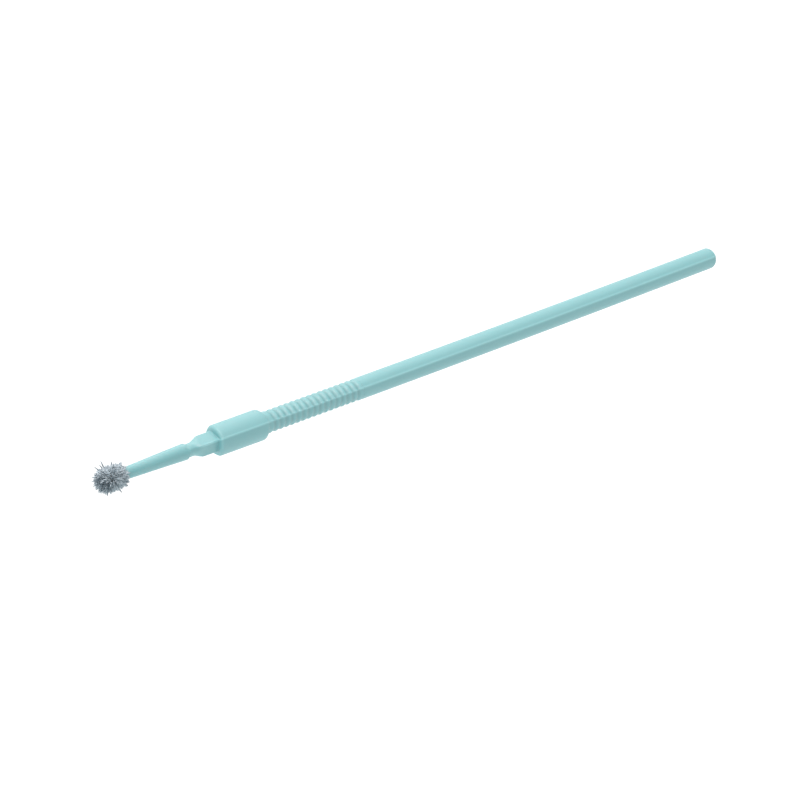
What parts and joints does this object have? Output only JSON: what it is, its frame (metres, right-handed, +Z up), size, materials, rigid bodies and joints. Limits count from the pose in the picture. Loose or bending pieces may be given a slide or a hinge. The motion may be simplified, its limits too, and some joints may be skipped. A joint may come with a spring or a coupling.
{
  "type": "micro applicator brush",
  "caption": "Slim moulded stick with a ribbed grip and a finger collar; its thin neck bends, and the round nose ends in a flocked ball for cleaning or dabbing.",
  "frame": {"origin": "centre of the whole object's footprint, on the surface that its collar lies on", "axes": "+X along the stick from the flocked tip to the handle's rear end, +Z up, square to the flat of the neck block that faces down"},
  "size_m": [0.1, 0.0036, 0.0036],
  "materials": {
    "polypropylene": "moulded, satin, pale aqua",
    "glue": "cured film of adhesive",
    "nylon_flock": "electrostatic nylon flock, cool grey"
  },
  "bodies": {
    "stick": {"handle": "polypropylene", "flexible_neck": "polypropylene"},
    "brush_tip": {"nose_cone": "polypropylene", "glue_coat": "glue", "flock_head": "nylon_flock"}
  },
  "joints": [
    {"name": "neck_bend", "type": "hinge", "parent": "stick", "child": "brush_tip", "pos_m": [-0.03628, 0, 0.00181], "axis": [0, -0.7071, 0.7071], "range_deg": [-90, 90], "deforming": ["flexible_neck"]}
  ]
}
